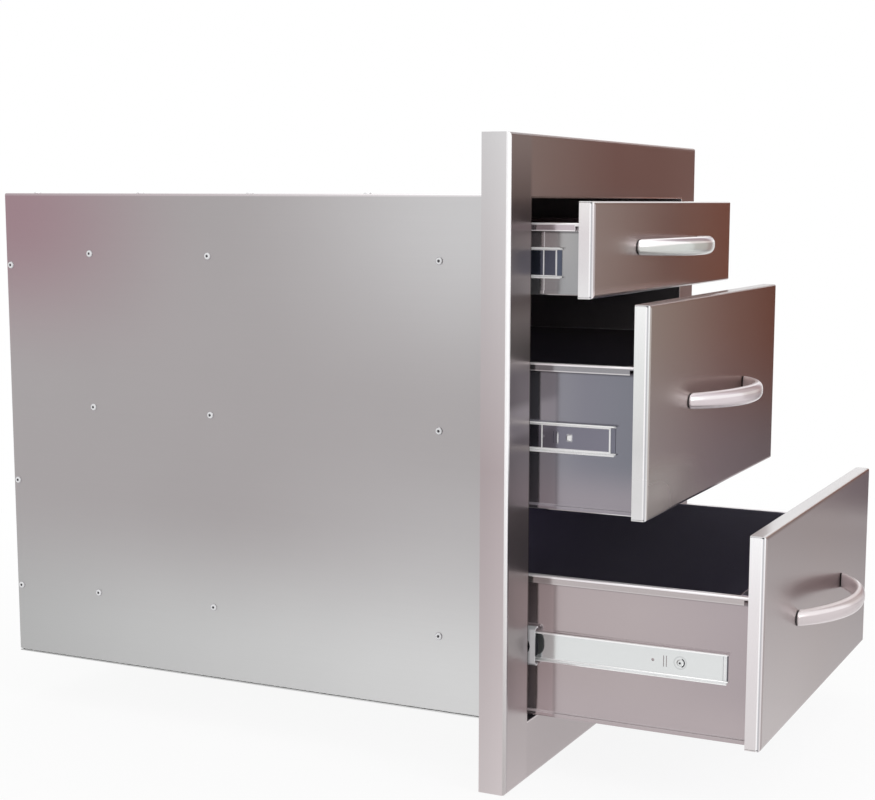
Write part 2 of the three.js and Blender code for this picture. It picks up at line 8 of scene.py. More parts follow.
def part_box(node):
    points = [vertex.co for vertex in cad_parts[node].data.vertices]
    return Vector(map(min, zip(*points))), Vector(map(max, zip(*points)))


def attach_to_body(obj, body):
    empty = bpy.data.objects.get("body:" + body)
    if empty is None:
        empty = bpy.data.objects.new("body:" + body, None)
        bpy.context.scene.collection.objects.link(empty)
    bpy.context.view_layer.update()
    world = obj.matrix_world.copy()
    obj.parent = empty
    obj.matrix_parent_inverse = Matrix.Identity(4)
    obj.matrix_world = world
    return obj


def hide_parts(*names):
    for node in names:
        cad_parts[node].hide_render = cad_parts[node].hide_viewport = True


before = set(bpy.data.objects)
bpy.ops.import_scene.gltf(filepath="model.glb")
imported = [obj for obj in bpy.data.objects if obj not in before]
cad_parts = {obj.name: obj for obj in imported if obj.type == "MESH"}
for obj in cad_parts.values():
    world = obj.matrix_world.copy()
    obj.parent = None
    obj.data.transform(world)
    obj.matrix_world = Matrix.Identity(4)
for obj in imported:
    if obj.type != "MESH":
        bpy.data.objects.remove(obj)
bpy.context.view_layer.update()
scene = bpy.context.scene


# The camera stands about a metre and a half off the unit's left front corner, at
# the height of its top, and looks slightly down on it with a long lens.
camera_place = Vector((-1.6230, -0.6309, 0.4954))
camera_yaw = 64.55
camera_pitch = -8.1
camera_roll = 0.2
image_pixels = (875, 800)
focal_pixels = 1661.6
axis_pixels = (465.7, 436.0)

camera_data = bpy.data.cameras.new("camera")
camera_data.sensor_width = 36
camera_data.lens = camera_data.sensor_width * focal_pixels / image_pixels[0]
camera_data.shift_x = (image_pixels[0] / 2 - axis_pixels[0]) / image_pixels[0]
camera_data.shift_y = (axis_pixels[1] - image_pixels[1] / 2) / image_pixels[0]
camera_data.clip_start = 0.05
camera = bpy.data.objects.new("camera", camera_data)
scene.collection.objects.link(camera)
heading = Matrix.Rotation(math.radians(-camera_yaw), 4, "Z")
tilt = Matrix.Rotation(math.radians(90 + camera_pitch), 4, "X")
roll = Matrix.Rotation(math.radians(camera_roll), 4, "Z")
camera.matrix_world = Matrix.Translation(camera_place) @ heading @ tilt @ roll
scene.camera = camera
scene.view_settings.view_transform = "Standard"


# The room is white: the world is plain white where it is seen or mirrored, and a
# pale floor takes the unit's shadow. Its shader sums are written with this class.
class Wire:
    """One socket of a shader. Sums written on it become Math nodes."""

    def __init__(self, socket):
        self.socket = socket

    @classmethod
    def node(cls, tree, kind, settings=None, inputs=None, output=0):
        """Adds a node with its settings, its stops and what feeds its sockets."""
        new = tree.nodes.new(kind)
        for name, value in (settings or {}).items():
            if name == "stops":
                while len(new.color_ramp.elements) < len(value):
                    new.color_ramp.elements.new(1)
                for element, (place, colour) in zip(new.color_ramp.elements, value):
                    element.position = place
                    element.color = (*colour, 1)
            else:
                setattr(new, name, value)
        for name, value in (inputs or {}).items():
            if isinstance(value, Wire):
                tree.links.new(value.socket, new.inputs[name])
            else:
                new.inputs[name].default_value = value
        return cls(new.outputs[output]) if new.outputs else None

    def add(self, kind, settings=None, inputs=None, output=0):
        return Wire.node(self.socket.id_data, kind, settings, inputs, output)

    def sum(self, operation, *values):
        return self.add("ShaderNodeMath", {"operation": operation}, dict(enumerate(values)))

    def __add__(self, other):
        return self.sum("ADD", self, other)

    __radd__ = __add__

    def __sub__(self, other):
        return self.sum("SUBTRACT", self, other)

    def __rsub__(self, other):
        return self.sum("SUBTRACT", other, self)

    def __mul__(self, other):
        return self.sum("MULTIPLY", self, other)

    __rmul__ = __mul__

    def __abs__(self):
        return self.sum("ABSOLUTE", self)

    def most(self, other):
        return self.sum("MAXIMUM", self, other)

    def least(self, other):
        return self.sum("MINIMUM", self, other)

    def away(self, other):
        """How far off a place is that lies this far one way and the other square to it."""
        squares = self * self + other * other
        return squares.sum("SQRT", squares)

    def near(self, place, reach, full=0.4):
        """One up to a share of its reach off a place, and softly down to nothing at its reach."""
        return abs(self - place).step(reach, reach * full)

    def step(self, start, end, low=0, high=1):
        """Goes softly from low at start to high at end."""
        places = {"Value": self, "From Min": start, "From Max": end, "To Min": low, "To Max": high}
        return self.add("ShaderNodeMapRange", {"interpolation_type": "SMOOTHSTEP"}, places)

    def ramp(self, start, end, *colours):
        """A colour that runs through the given ones, evenly spaced from start to end."""
        share = self.add("ShaderNodeMapRange", None, {"Value": self, "From Min": start, "From Max": end})
        stops = [(i / (len(colours) - 1), colour) for i, colour in enumerate(colours)]
        return self.add("ShaderNodeValToRGB", {"stops": stops}, {0: share})

    def blend(self, first, second):
        """A colour that goes from the first to the second as this goes from 0 to 1."""
        pair = {0: self}
        for socket, colour in ((6, first), (7, second)):
            pair[socket] = colour if isinstance(colour, Wire) else (*colour, 1)
        return self.add("ShaderNodeMix", {"data_type": "RGBA"}, pair, 2)

    def shade(self, strength):
        """This colour made lighter or darker."""
        return self.add("ShaderNodeVectorMath", {"operation": "SCALE"}, {0: self, 3: strength})


def srgb(red, green, blue):
    """A colour as a screen shows it, from 0 to 255, turned into the shader's own."""
    shares = (red / 255, green / 255, blue / 255)
    return tuple(s / 12.92 if s <= 0.04045 else ((s + 0.055) / 1.055) ** 2.4 for s in shares)


def mirrored(wire):
    """One where a surface is seen by the camera, or in or through another surface."""
    paths = wire.add("ShaderNodeLightPath").socket.node.outputs
    seen = Wire(paths["Is Camera Ray"]).most(Wire(paths["Is Glossy Ray"]))
    return seen.most(Wire(paths["Is Transmission Ray"]))


room_fill = 0.75

world = bpy.data.worlds.new("room")
world.use_nodes = True
scene.world = world
world.node_tree.nodes.clear()
start = Wire.node(world.node_tree, "ShaderNodeLightPath")
background = start.add("ShaderNodeBackground", None, {
    "Color": (1, 1, 1, 1),
    "Strength": mirrored(start) * (1 - room_fill) + room_fill,
})
start.add("ShaderNodeOutputWorld", None, {"Surface": background})


def bare_finish(name):
    """An empty material, and the wire of the place on its piece."""
    finish = bpy.data.materials.new(name)
    finish.use_nodes = True
    finish.node_tree.nodes.clear()
    return finish, Wire.node(finish.node_tree, "ShaderNodeTexCoord", None, None, 3)


def put_in_scene(bm, name, finish):
    """Makes a finished mesh into an object of the scene."""
    mesh = bpy.data.meshes.new(name)
    bm.to_mesh(mesh)
    bm.free()
    mesh.materials.append(finish)
    piece = bpy.data.objects.new(name, mesh)
    scene.collection.objects.link(piece)
    return piece


def flat_sheet(name, size, centre, finish, turn=0):
    """A rectangle about its centre, lying flat, or turned up about Y."""
    bm = bmesh.new()
    bmesh.ops.create_grid(bm, x_segments=1, y_segments=1, size=0.5)
    bmesh.ops.rotate(bm, verts=bm.verts, matrix=Matrix.Rotation(turn, 3, "Y"))
    bmesh.ops.scale(bm, verts=bm.verts, vec=size)
    bmesh.ops.translate(bm, verts=bm.verts, vec=centre)
    return put_in_scene(bm, name, finish)


floor_size = 14
floor_gap = 0.0005
floor_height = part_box("front_frame")[0][2] - floor_gap
floor_fade = (0.5, 1.5)
floor_glow = 0.9
floor_tone = (0.86, 0.86, 0.86, 1)

floor_paint, spot = bare_finish("floor_paint")
reach = spot.add("ShaderNodeVectorMath", {"operation": "LENGTH"}, {0: spot}, 1)
glow = mirrored(spot) * reach.step(*floor_fade, floor_glow, 1)
matt = spot.add("ShaderNodeBsdfDiffuse", None, {"Color": floor_tone})
white = spot.add("ShaderNodeEmission", None, {"Color": (1, 1, 1, 1), "Strength": 1})
mixed = spot.add("ShaderNodeMixShader", None, {0: glow, 1: matt, 2: white})
spot.add("ShaderNodeOutputMaterial", None, {"Surface": mixed})
floor = flat_sheet("floor", (floor_size, floor_size, 1), (0, 0, floor_height), floor_paint)


# Two large soft boxes light the unit: the key at the front left, which brightens the
# bends, whose bright lines are also painted on, and a weak one over the top for the floor's shadow.
def soft_box(name, place, target, size, power):
    """A lit rectangle that faces its target, and that the camera doesn't see."""
    data = bpy.data.lights.new(name, "AREA")
    data.shape = "RECTANGLE"
    data.size, data.size_y = size
    data.energy = power
    lamp = bpy.data.objects.new(name, data)
    lamp.location = place
    aim = Vector(target) - Vector(place)
    lamp.rotation_euler = aim.to_track_quat("-Z", "Y").to_euler()
    lamp.visible_camera = False
    scene.collection.objects.link(lamp)


soft_box("key_box", place=(-0.9, -2.6, 1.5), target=(0, 0, 0.3), size=(0.9, 1.3), power=22)
soft_box("top_box", place=(0.3, 0.2, 2.6), target=(0, 0, 0), size=(2.4, 2.4), power=16)


# A tall brown cloth hangs off to the right of the fronts, lighter at its near end and
# grey at its foot, and a grey one lies before it. Only polished steel mirrors them.
screen_place = 1.22
screen_near_end = -1.4
screen_far_end = -0.1
screen_foot = -0.05
screen_top = 2.0
screen_span = (-0.66, -0.36)
screen_fade = (-0.26, -0.12)
screen_brown_rise = (0.04, 0.3)
screen_hem = (-0.05, -0.01)
screen_brown = (srgb(188, 176, 168), srgb(160, 136, 125), srgb(132, 86, 72), srgb(120, 62, 44))
screen_grey = (srgb(186, 178, 180), srgb(156, 142, 148), srgb(134, 123, 127), srgb(115, 106, 110))
runner_light = srgb(250, 250, 250)
runner_dark = srgb(192, 186, 186)
runner_reach = (0.05, 1.15)
runner_start = (0, 0.15)
runner_near_edge = (-0.95, -0.70)
runner_far_edge = (-0.16, -0.30)
runner_lift = 0.0004


def axes(spot):
    """The X, Y and Z of a place."""
    split = spot.add("ShaderNodeSeparateXYZ", None, {0: spot})
    return [Wire(output) for output in split.socket.node.outputs]


def only_mirrored(sheet):
    """Keeps a sheet out of everything but mirrors."""
    sheet.visible_camera = False
    sheet.visible_diffuse = False
    sheet.visible_shadow = False
    sheet.visible_transmission = False


screen_cloth, spot = bare_finish("screen_cloth")
x, y, z = axes(spot)
brown = y.ramp(*screen_span, *screen_brown)
grey = y.ramp(*screen_span, *screen_grey)
cloth = z.step(*screen_brown_rise).blend(grey, brown)
cloth = z.step(*screen_hem).blend(runner_dark, cloth)
cloth = y.step(*screen_fade).blend(cloth, (1, 1, 1))
glow = spot.add("ShaderNodeEmission", None, {"Color": cloth, "Strength": 1})
spot.add("ShaderNodeOutputMaterial", None, {"Surface": glow})
screen_size = (1, screen_far_end - screen_near_end, screen_top - screen_foot)
screen_centre = (screen_place, (screen_far_end + screen_near_end) / 2, (screen_top + screen_foot) / 2)
screen = flat_sheet("screen", screen_size, screen_centre, screen_cloth, turn=math.pi / 2)
only_mirrored(screen)

runner_cloth, spot = bare_finish("runner_cloth")
x, y, z = axes(spot)
laid = y.step(*runner_near_edge) * y.step(*runner_far_edge) * x.step(*runner_start)
clear = spot.add("ShaderNodeBsdfTransparent")
tone = x.ramp(*runner_reach, runner_light, runner_dark)
glow = spot.add("ShaderNodeEmission", None, {"Color": tone, "Strength": 1})
mixed = spot.add("ShaderNodeMixShader", None, {0: laid, 1: clear, 2: glow})
spot.add("ShaderNodeOutputMaterial", None, {"Surface": mixed})
runner_size = (screen_place, runner_far_edge[0] - runner_near_edge[0], 1)
runner_centre = (screen_place / 2, (runner_far_edge[0] + runner_near_edge[0]) / 2,
                 floor_height + runner_lift)
runner = flat_sheet("floor_runner", runner_size, runner_centre, runner_cloth)
only_mirrored(runner)


# The trim frame is folded from one sheet of stainless steel, with deep returns that
# stand it off the wall and a cut-out for the drawers. It is brushed along its height.
hair_along = 6
hair_across = 1400
hair_relief = 0.0002
cloud_scale = 6
cloud_share = 0.08
rough_share = 0.06


def brushed(name, paint, gloss=0.2, lines=0.06, brush="Z", metal=lambda x, y, z: 0.9):
    """A brushed steel. paint and metal are functions from the X, Y and Z wires."""
    finish, spot = bare_finish(name)
    x, y, z = axes(spot)
    stretch = tuple(hair_along if axis == brush else hair_across for axis in "XYZ")
    along = spot.add("ShaderNodeMapping", None, {"Vector": spot, "Scale": stretch})
    hair = along.add("ShaderNodeTexNoise", None, {
        "Vector": along, "Scale": 1, "Detail": 2, "Roughness": 0.5})
    cloud = spot.add("ShaderNodeTexNoise", None, {
        "Vector": spot, "Scale": cloud_scale, "Detail": 3, "Roughness": 0.5})
    tone = paint(x, y, z).shade((hair - 0.5) * lines + (cloud - 0.5) * cloud_share + 1)
    rough = gloss + (hair - 0.5) * rough_share + (cloud - 0.5) * rough_share
    relief = hair.add("ShaderNodeBump", None, {
        "Strength": 0.06, "Distance": hair_relief, "Height": hair})
    skin = hair.add("ShaderNodeBsdfPrincipled", None, {
        "Base Color": tone, "Metallic": metal(x, y, z), "Roughness": rough, "Normal": relief})
    hair.add("ShaderNodeOutputMaterial", None, {"Surface": skin})
    return finish


def dress(node, finish):
    """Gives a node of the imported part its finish."""
    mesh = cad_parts[node].data
    mesh.materials.clear()
    mesh.materials.append(finish)


def attach(bm, name, body, finish):
    """Makes a finished mesh into a piece that moves with a body."""
    bmesh.ops.recalc_face_normals(bm, faces=bm.faces)
    piece = put_in_scene(bm, name, finish)
    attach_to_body(piece, body)
    return piece


# From here on a pair of sizes is where a soft step starts and ends, or a line's place
# and its reach to either side.
frame_low, frame_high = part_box("front_frame")
frame_half = frame_high[0]
frame_face = frame_low[1]
frame_span = (frame_low[2], frame_high[2])
frame_bend = 0.0038
frame_mirror = 0.92
bend_fade = 0.0006
bend_line_reach = (0.0024, 0.0014)
bend_matt_rise = (0.22, 0.29)
bend_matt = 0.75
opening_half = 0.2180
opening_foot = 0.0026
opening_head = 0.4978
face_tones = (srgb(177, 167, 168), srgb(175, 166, 167), srgb(170, 161, 162))
head_reflection_tones = (srgb(160, 148, 146), srgb(150, 121, 117), srgb(160, 134, 128))
head_rise = (0.42, 0.52)
border_foot_reflection_tone = srgb(184, 174, 175)
border_reflection_tone = srgb(157, 147, 147)
border_foot_fall = (0.145, -0.055)
border_fade = 0.004
border_shade = (0.487, 0.068)
border_shade_tone = srgb(116, 105, 105)
upper_glint = (0.370, 0.035)
lower_glint = (0.294, 0.020)
glint_tone = srgb(202, 193, 192)
bend_foot_tone = srgb(184, 176, 178)
bend_foot_fall = (0.105, -0.055)
bend_tone = srgb(150, 144, 146)
bend_light_rise = (0.195, 0.305)
bend_light_tone = srgb(255, 254, 255)
bend_shade = (0.174, 0.070)
bend_shade_tone = srgb(82, 79, 83)
bend_line_foot_tone = srgb(196, 190, 190)
bend_line_rise = (-0.055, 0.295)
side_light_tones = (srgb(208, 199, 200), srgb(177, 165, 167), srgb(214, 212, 213))
side_light = (1.04, 0.95)


def left_bend(x):
    """The bend between the frame's face and its left return."""
    return (x + frame_half).step(frame_bend, frame_bend - bend_fade)


def bend_line(x):
    """The outer part of that bend, where the brightest painted highlight lies."""
    return (x + frame_half).step(*bend_line_reach)


def frame_paint(x, y, z):
    face = z.ramp(*frame_span, *face_tones)
    # The face darkens to a warm head along its top, a painted reflection of the room.
    head = x.ramp(-frame_half, frame_half, *head_reflection_tones)
    face = z.step(*head_rise).blend(face, head)
    # The opening's left border is painted with reflections: lighter at its foot, with a painted dark band
    # below the head and two painted light bands across it.
    border = z.step(*border_foot_fall).blend(border_reflection_tone, border_foot_reflection_tone)
    border = z.near(*border_shade, full=0).blend(border, border_shade_tone)
    glints = z.near(*upper_glint).most(z.near(*lower_glint))
    border = glints.blend(border, glint_tone)
    face = x.step(-opening_half + border_fade, -opening_half - border_fade).blend(face, border)
    # The left bend is painted: lighter at its foot, a painted highlight above, a painted dark band
    # between, and a painted highlight line along its outer part.
    bend = z.step(*bend_foot_fall).blend(bend_tone, bend_foot_tone)
    bend = z.step(*bend_light_rise).blend(bend, bend_light_tone)
    bend = z.near(*bend_shade, full=0).blend(bend, bend_shade_tone)
    line = z.step(*bend_line_rise).blend(bend_line_foot_tone, bend_light_tone)
    bend = bend_line(x).blend(bend, line)
    # The return is painted lighter at its top and foot than between, and darker towards the back: painted
    # light and shade.
    side = z.ramp(*frame_span, *side_light_tones).shade(y.step(frame_face, 0, *side_light))
    fold = y.step(frame_face + frame_bend - bend_fade, frame_face + frame_bend).blend(bend, side)
    return left_bend(x).blend(face, fold)


def frame_metal(x, y, z):
    # Where the bend is painted light the steel mirrors less, so that the painted light shows.
    bend = left_bend(x) * y.step(frame_face + frame_bend, frame_face + frame_bend - bend_fade)
    return frame_mirror - bend * z.step(*bend_matt_rise).most(bend_line(x)) * bend_matt


frame_steel = brushed("frame_steel", frame_paint, gloss=0.3, lines=0.03, metal=frame_metal)
dress("front_frame", frame_steel)

lip_stands = 0.0009
lip_depth = 0.0016
lip_seat = 0.0006
lip_proud = 0.0001
lip_round = 0.0006
lip_light_and_shade_tones = (srgb(104, 94, 92), srgb(150, 138, 136), srgb(236, 230, 230), srgb(252, 250, 250))
lip_foot_light_tone = srgb(206, 198, 198)
lip_foot_fade = 0.02

bm = bmesh.new()
bmesh.ops.create_grid(bm, x_segments=1, y_segments=1, size=0.5)
bmesh.ops.rotate(bm, verts=bm.verts, matrix=Matrix.Rotation(math.pi / 2, 3, "X"))
bmesh.ops.scale(bm, verts=bm.verts, vec=(
    2 * (opening_half + lip_seat), 1, opening_head - opening_foot + 2 * lip_seat))
bmesh.ops.translate(bm, verts=bm.verts, vec=(
    0, frame_face - lip_proud, (opening_head + opening_foot) / 2))
bmesh.ops.inset_region(bm, faces=bm.faces[:], thickness=lip_stands + lip_seat,
                       use_boundary=True, use_even_offset=True)
widest = max(bm.faces, key=lambda face: face.calc_area())
bmesh.ops.delete(bm, geom=[widest], context="FACES_ONLY")
walls = bmesh.ops.extrude_face_region(bm, geom=bm.faces[:])
moved = [item for item in walls["geom"] if isinstance(item, bmesh.types.BMVert)]
bmesh.ops.translate(bm, verts=moved, vec=(0, lip_depth, 0))
inner = [edge for edge in bm.edges
         if all(abs(v.co.x) < opening_half - lip_stands / 2
                and opening_foot + lip_stands / 2 < v.co.z < opening_head - lip_stands / 2
                for v in edge.verts)
         and abs(edge.verts[0].co.y - edge.verts[1].co.y) < lip_depth / 2]
bmesh.ops.bevel(bm, geom=inner, offset=lip_round, offset_type="OFFSET", segments=4, profile=0.5,
                affect="EDGES", material=-1)


def lip_paint(x, y, z):
    # The lip is painted dark at its left end and brightens to a painted highlight at its right, and is
    # painted lighter along its foot.
    rail = x.ramp(-opening_half, opening_half, *lip_light_and_shade_tones)
    return z.step(opening_foot + lip_foot_fade, opening_foot).blend(rail, lip_foot_light_tone)


lip_steel = brushed("opening_lip_steel", lip_paint, gloss=0.16)
attach(bm, "frame_opening_lip", "case", lip_steel)


# The case is plain stainless sheet: two sides with flanges, a top, a floor and a
# back, held by pop rivets. Its sides are painted lighter towards the front and the foot, a painted light.
case_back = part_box("case_left_panel")[1][1]
case_span = (case_back, frame_face)
case_half = 0.2192
case_top = 0.5004
side_skin = (case_half - 0.0014, case_half - 0.001)
top_skin = (0.4984, 0.4988)
floor_skin = (0.0006, 0.0002)
back_skin = (case_back - 0.0006, case_back - 0.0002)
seam_rise = (0.0036, 0.0032)
seam_depth = (case_half - 0.0050, case_half - 0.0044)
seam_mouth = (case_half - 0.0001, case_half - 0.0006)
seam_light_tone = srgb(253, 253, 253)
case_tone = srgb(171, 166, 167)
case_head_rise = (0.29, 0.48)
case_reflection_reach = (0.30, case_back)
case_pink_reflection_tone = srgb(160, 134, 141)
case_light_reach = (0.32, frame_face)
case_light_tone = srgb(224, 224, 225)
case_light_fall = (0.27, 0.15)
case_light_low = 0.10
case_light_head = 0.7
case_light_foot = 0.35
case_foot_light_fall = (0.19, 0.03)
case_foot_light_tones = (srgb(182, 182, 182), srgb(222, 222, 222))
top_bend_rise = (0.4975, 0.4985)
top_bend_reach = (case_half - 0.0024, case_half - 0.0016)
top_bend_light_tones = (srgb(176, 158, 163), srgb(204, 197, 199), srgb(236, 234, 235))
rivet_rise = (case_top + 0.0002, case_top + 0.0005)
rivet_highlight_tone = srgb(244, 244, 245)
case_inner_shade_tone = srgb(120, 112, 116)
case_mirror = 0.45
outside_mirror = 0.4


def case_foot_seam(x, z):
    """The narrow open seam where the sides stand on the floor panel."""
    return z.step(*seam_rise) * abs(x).step(*seam_depth) * abs(x).step(*seam_mouth)


def case_outside(x, y, z):
    """The faces that look out of the case, and its seams."""
    cover = z.step(*top_skin).most(z.step(*floor_skin)).most(case_foot_seam(x, z))
    return abs(x).step(*side_skin).most(cover).most(y.step(*back_skin))


def case_paint(x, y, z):
    head = z.step(*case_head_rise)
    light = (head * (case_light_head - case_light_low)).most(
        z.step(*case_light_fall) * (case_light_foot - case_light_low)) + case_light_low
    # A pink painted reflection on the upper back of the sides.
    wall = (head * y.step(*case_reflection_reach)).blend(case_tone, case_pink_reflection_tone)
    # Painted light towards the front of the sides, strongest high up and near the foot.
    wall = (light * y.step(*case_light_reach)).blend(wall, case_light_tone)
    # The foot of the sides is painted lighter towards the front, a painted light.
    wall = z.step(*case_foot_light_fall).blend(wall, y.ramp(*case_span, *case_foot_light_tones))
    # The foot seam is painted near white, a painted light that cancels the shade in it.
    wall = case_foot_seam(x, z).blend(wall, seam_light_tone)
    # The top bend of the sides carries a painted highlight, lighter towards the front.
    bend = z.step(*top_bend_rise) * abs(x).step(*top_bend_reach)
    wall = bend.blend(wall, y.ramp(*case_span, *top_bend_light_tones))
    # The rivet heads on the top are painted near white, a painted highlight.
    wall = z.step(*rivet_rise).blend(wall, rivet_highlight_tone)
    # The faces inside the case are painted darker, a painted shade.
    return case_outside(x, y, z).blend(case_inner_shade_tone, wall)


def case_metal(x, y, z):
    return case_outside(x, y, z) * outside_mirror + case_mirror


case_steel = brushed("case_steel", case_paint, gloss=0.3, lines=0.04, brush="Y", metal=case_metal)
for panel in ("left", "right", "top", "bottom", "back"):
    dress(f"case_{panel}_panel", case_steel)


# Pop rivets hold the slides to the case, its back and its top. Each is a low dome
# of soft steel, and in its dished middle is the stub of its pin, painted dark for the shade of its hole.
rivet_outline = ((0.0039, -0.0002), (0.0038, 0.0005), (0.0033, 0.0011), (0.0026, 0.00155),
                 (0.0020, 0.0017), (0.0016, 0.0016), (0.00135, 0.00128), (0.0, 0.00128))
stub_outline = ((0.0012, 0.0010), (0.0012, 0.00150), (0.0010, 0.00162), (0.0, 0.00166))
rivet_turns = 20
slide_rivet_depths = (0.0653, 0.3253, 0.4723)
slide_heights = (0.0765, 0.2771, 0.4382)
back_rivet_depth = 0.5769
back_rivet_heights = (0.0744, 0.1914, 0.4244)
top_rivet_depths = (0.5429, 0.4102, 0.2775, 0.1448)
top_rivet_half = 0.2132
dome_rise = (case_half + 0.0006, case_half + 0.0016)
dome_light_tones = (srgb(184, 182, 184), srgb(236, 236, 238))
top_dome_rise = (case_top, case_top + 0.0002)
stub_shade_tones = (srgb(46, 44, 48), srgb(70, 66, 70))


def rivet(bm, outline, place, facing):
    """Spins one outline and sets it on a sheet, facing out of it."""
    others = set(bm.verts)
    line = [bm.verts.new((reach, 0, height)) for reach, height in outline]
    edges = [bm.edges.new(pair) for pair in zip(line, line[1:])]
    bmesh.ops.spin(bm, geom=line + edges, cent=(0, 0, 0), axis=(0, 0, 1), dvec=(0, 0, 0),
                   angle=2 * math.pi, steps=rivet_turns, use_merge=True)
    fresh = [vert for vert in bm.verts if vert not in others]
    turn = Vector((0, 0, 1)).rotation_difference(Vector(facing)).to_matrix().to_4x4()
    bmesh.ops.transform(bm, matrix=Matrix.Translation(place) @ turn, verts=fresh)


def rivets(outline):
    """The same outline at every rivet of the case."""
    bm = bmesh.new()
    for side in (-1, 1):
        for depth in slide_rivet_depths:
            for height in slide_heights:
                rivet(bm, outline, (side * case_half, depth, height), (side, 0, 0))
        for height in back_rivet_heights:
            rivet(bm, outline, (side * case_half, back_rivet_depth, height), (side, 0, 0))
        for depth in top_rivet_depths:
            rivet(bm, outline, (side * top_rivet_half, depth, case_top), (0, 0, 1))
    bmesh.ops.remove_doubles(bm, verts=bm.verts, dist=0.00001)
    return bm


def rivet_paint(x, y, z):
    # The domes are painted lighter at their top, a painted highlight, and those on the top of the case
    # light all over.
    dome = abs(x).step(*dome_rise).blend(*dome_light_tones)
    return z.step(*top_dome_rise).blend(dome, rivet_highlight_tone)


rivet_steel = brushed("rivet_steel", rivet_paint, gloss=0.22, metal=lambda x, y, z: 0.4)
attach(rivets(rivet_outline), "case_rivet_heads", "case", rivet_steel)
stub_steel = brushed("stub_steel", lambda x, y, z: z.ramp(0, case_top, *stub_shade_tones), gloss=0.4,
                     metal=lambda x, y, z: 0.3)
attach(rivets(stub_outline), "case_rivet_stubs", "case", stub_steel)


# Each drawer front is a folded skin with seams and relief holes at its corners,
# closed at the back by a liner. It is stainless steel, brushed along its width.
drawers = ("top", "middle", "bottom")
front_tint_and_reflection_tones = {
    "top": (srgb(180, 170, 170), srgb(170, 154, 152), srgb(187, 161, 149)),
    "middle": (srgb(181, 173, 169), srgb(170, 151, 148), srgb(160, 137, 128)),
    "bottom": (srgb(169, 159, 159), srgb(164, 151, 150), srgb(154, 142, 143)),
}
cap_light_tones = {
    "top": srgb(238, 234, 234),
    "middle": srgb(176, 168, 168),
    "bottom": srgb(214, 211, 212),
}
return_light_tones = {
    "top": (srgb(232, 230, 231), srgb(222, 218, 220), srgb(222, 216, 218), srgb(236, 232, 232)),
    "middle": (srgb(231, 229, 230), srgb(215, 214, 214), srgb(228, 229, 228), srgb(246, 246, 246)),
    "bottom": (srgb(222, 216, 217), srgb(226, 220, 222), srgb(233, 228, 230), srgb(250, 249, 250)),
}
front_mirror = 0.94
cap_rise = (-0.0010, -0.0003)
cap_matt = {"top": 0.65, "middle": 0.3, "bottom": 0.65}
edge_line = (0.0012, 0.0002)
edge_highlight_tone = srgb(250, 246, 246)
return_start = (0.0014, 0.001)
fold_light = (0.0040, 0.0009)
fold_light_tone = srgb(254, 252, 253)
fold_shade = (0.0026, 0.0010)
fold_shade_share = 0.8
fold_shade_tone = srgb(184, 183, 188)
foot_light_and_shade = {
    "top": ((0.011, 0.001), (0.08, -0.06), 0.6),
    "bottom": ((0.11, 0), (-0.15, 0.02), -0.12),
}
foot_grey_reflection = {"middle": ((0.11, 0), (-0.2, 0.05), 0.5)}
foot_grey_reflection_tone = srgb(169, 164, 169)
foot_matt = {
    "top": ((0.0016, 0.0008), (-0.17, -0.10), 0.8),
    "middle": ((0.055, 0.015), (-0.09, -0.19), 0.55),
}
liner_tones = (srgb(222, 217, 218), srgb(226, 222, 223))

for drawer in drawers:
    low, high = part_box(f"{drawer}_drawer_front_skin")

    def at_foot(x, z, heights, reach, strength):
        """A strength near the front's foot, between two heights and along a reach of its width."""
        return (z - low[2]).step(*heights) * x.step(*reach) * strength

    def cap(z):
        """The top face of the front's fold."""
        return (z - high[2]).step(*cap_rise)

    def front_paint(x, y, z):
        edge = (high[0] - abs(x)).least(z - low[2]).least(high[2] - z)
        # The warm tones across the width are partly the steel's own tint and partly a painted reflection
        # of the room.
        face = x.ramp(low[0], high[0], *front_tint_and_reflection_tones[drawer])
        # On the middle front a grey painted reflection grows over the foot towards the right.
        if drawer in foot_grey_reflection:
            face = at_foot(x, z, *foot_grey_reflection[drawer]).blend(face, foot_grey_reflection_tone)
        # Painted light at the top front's lower left edge, and painted shade over the bottom front's foot
        # towards the right.
        if drawer in foot_light_and_shade:
            face = face.shade(at_foot(x, z, *foot_light_and_shade[drawer]) + 1)
        # A painted highlight along the face's edges.
        face = edge.step(*edge_line).blend(face, edge_highlight_tone)
        # The returns are painted light, with a painted highlight line and a painted shade line along the
        # fold.
        fold = z.ramp(low[2], high[2], *return_light_tones[drawer])
        fold = (y - low[1]).near(*fold_light).blend(fold, fold_light_tone)
        fold = ((y - low[1]).near(*fold_shade) * fold_shade_share).blend(fold, fold_shade_tone)
        side = edge.step(*return_start).blend(face, fold)
        # The top of the fold is painted light, a painted highlight, and the steel there mirrors less so
        # that it shows.
        return cap(z).blend(side, cap_light_tones[drawer])

    def front_metal(x, y, z):
        matt = cap(z) * cap_matt[drawer]
        if drawer in foot_matt:
            matt = matt.most(at_foot(x, z, *foot_matt[drawer]))
        return front_mirror - matt

    front_steel = brushed(f"{drawer}_front_steel", front_paint, brush="X", metal=front_metal)
    dress(f"{drawer}_drawer_front_skin", front_steel)
    liner_steel = brushed(
        f"{drawer}_liner_steel", lambda x, y, z: z.ramp(low[2], high[2], *liner_tones), gloss=0.3,
        brush="X", metal=lambda x, y, z: 0.2)
    dress(f"{drawer}_drawer_front_liner", liner_steel)


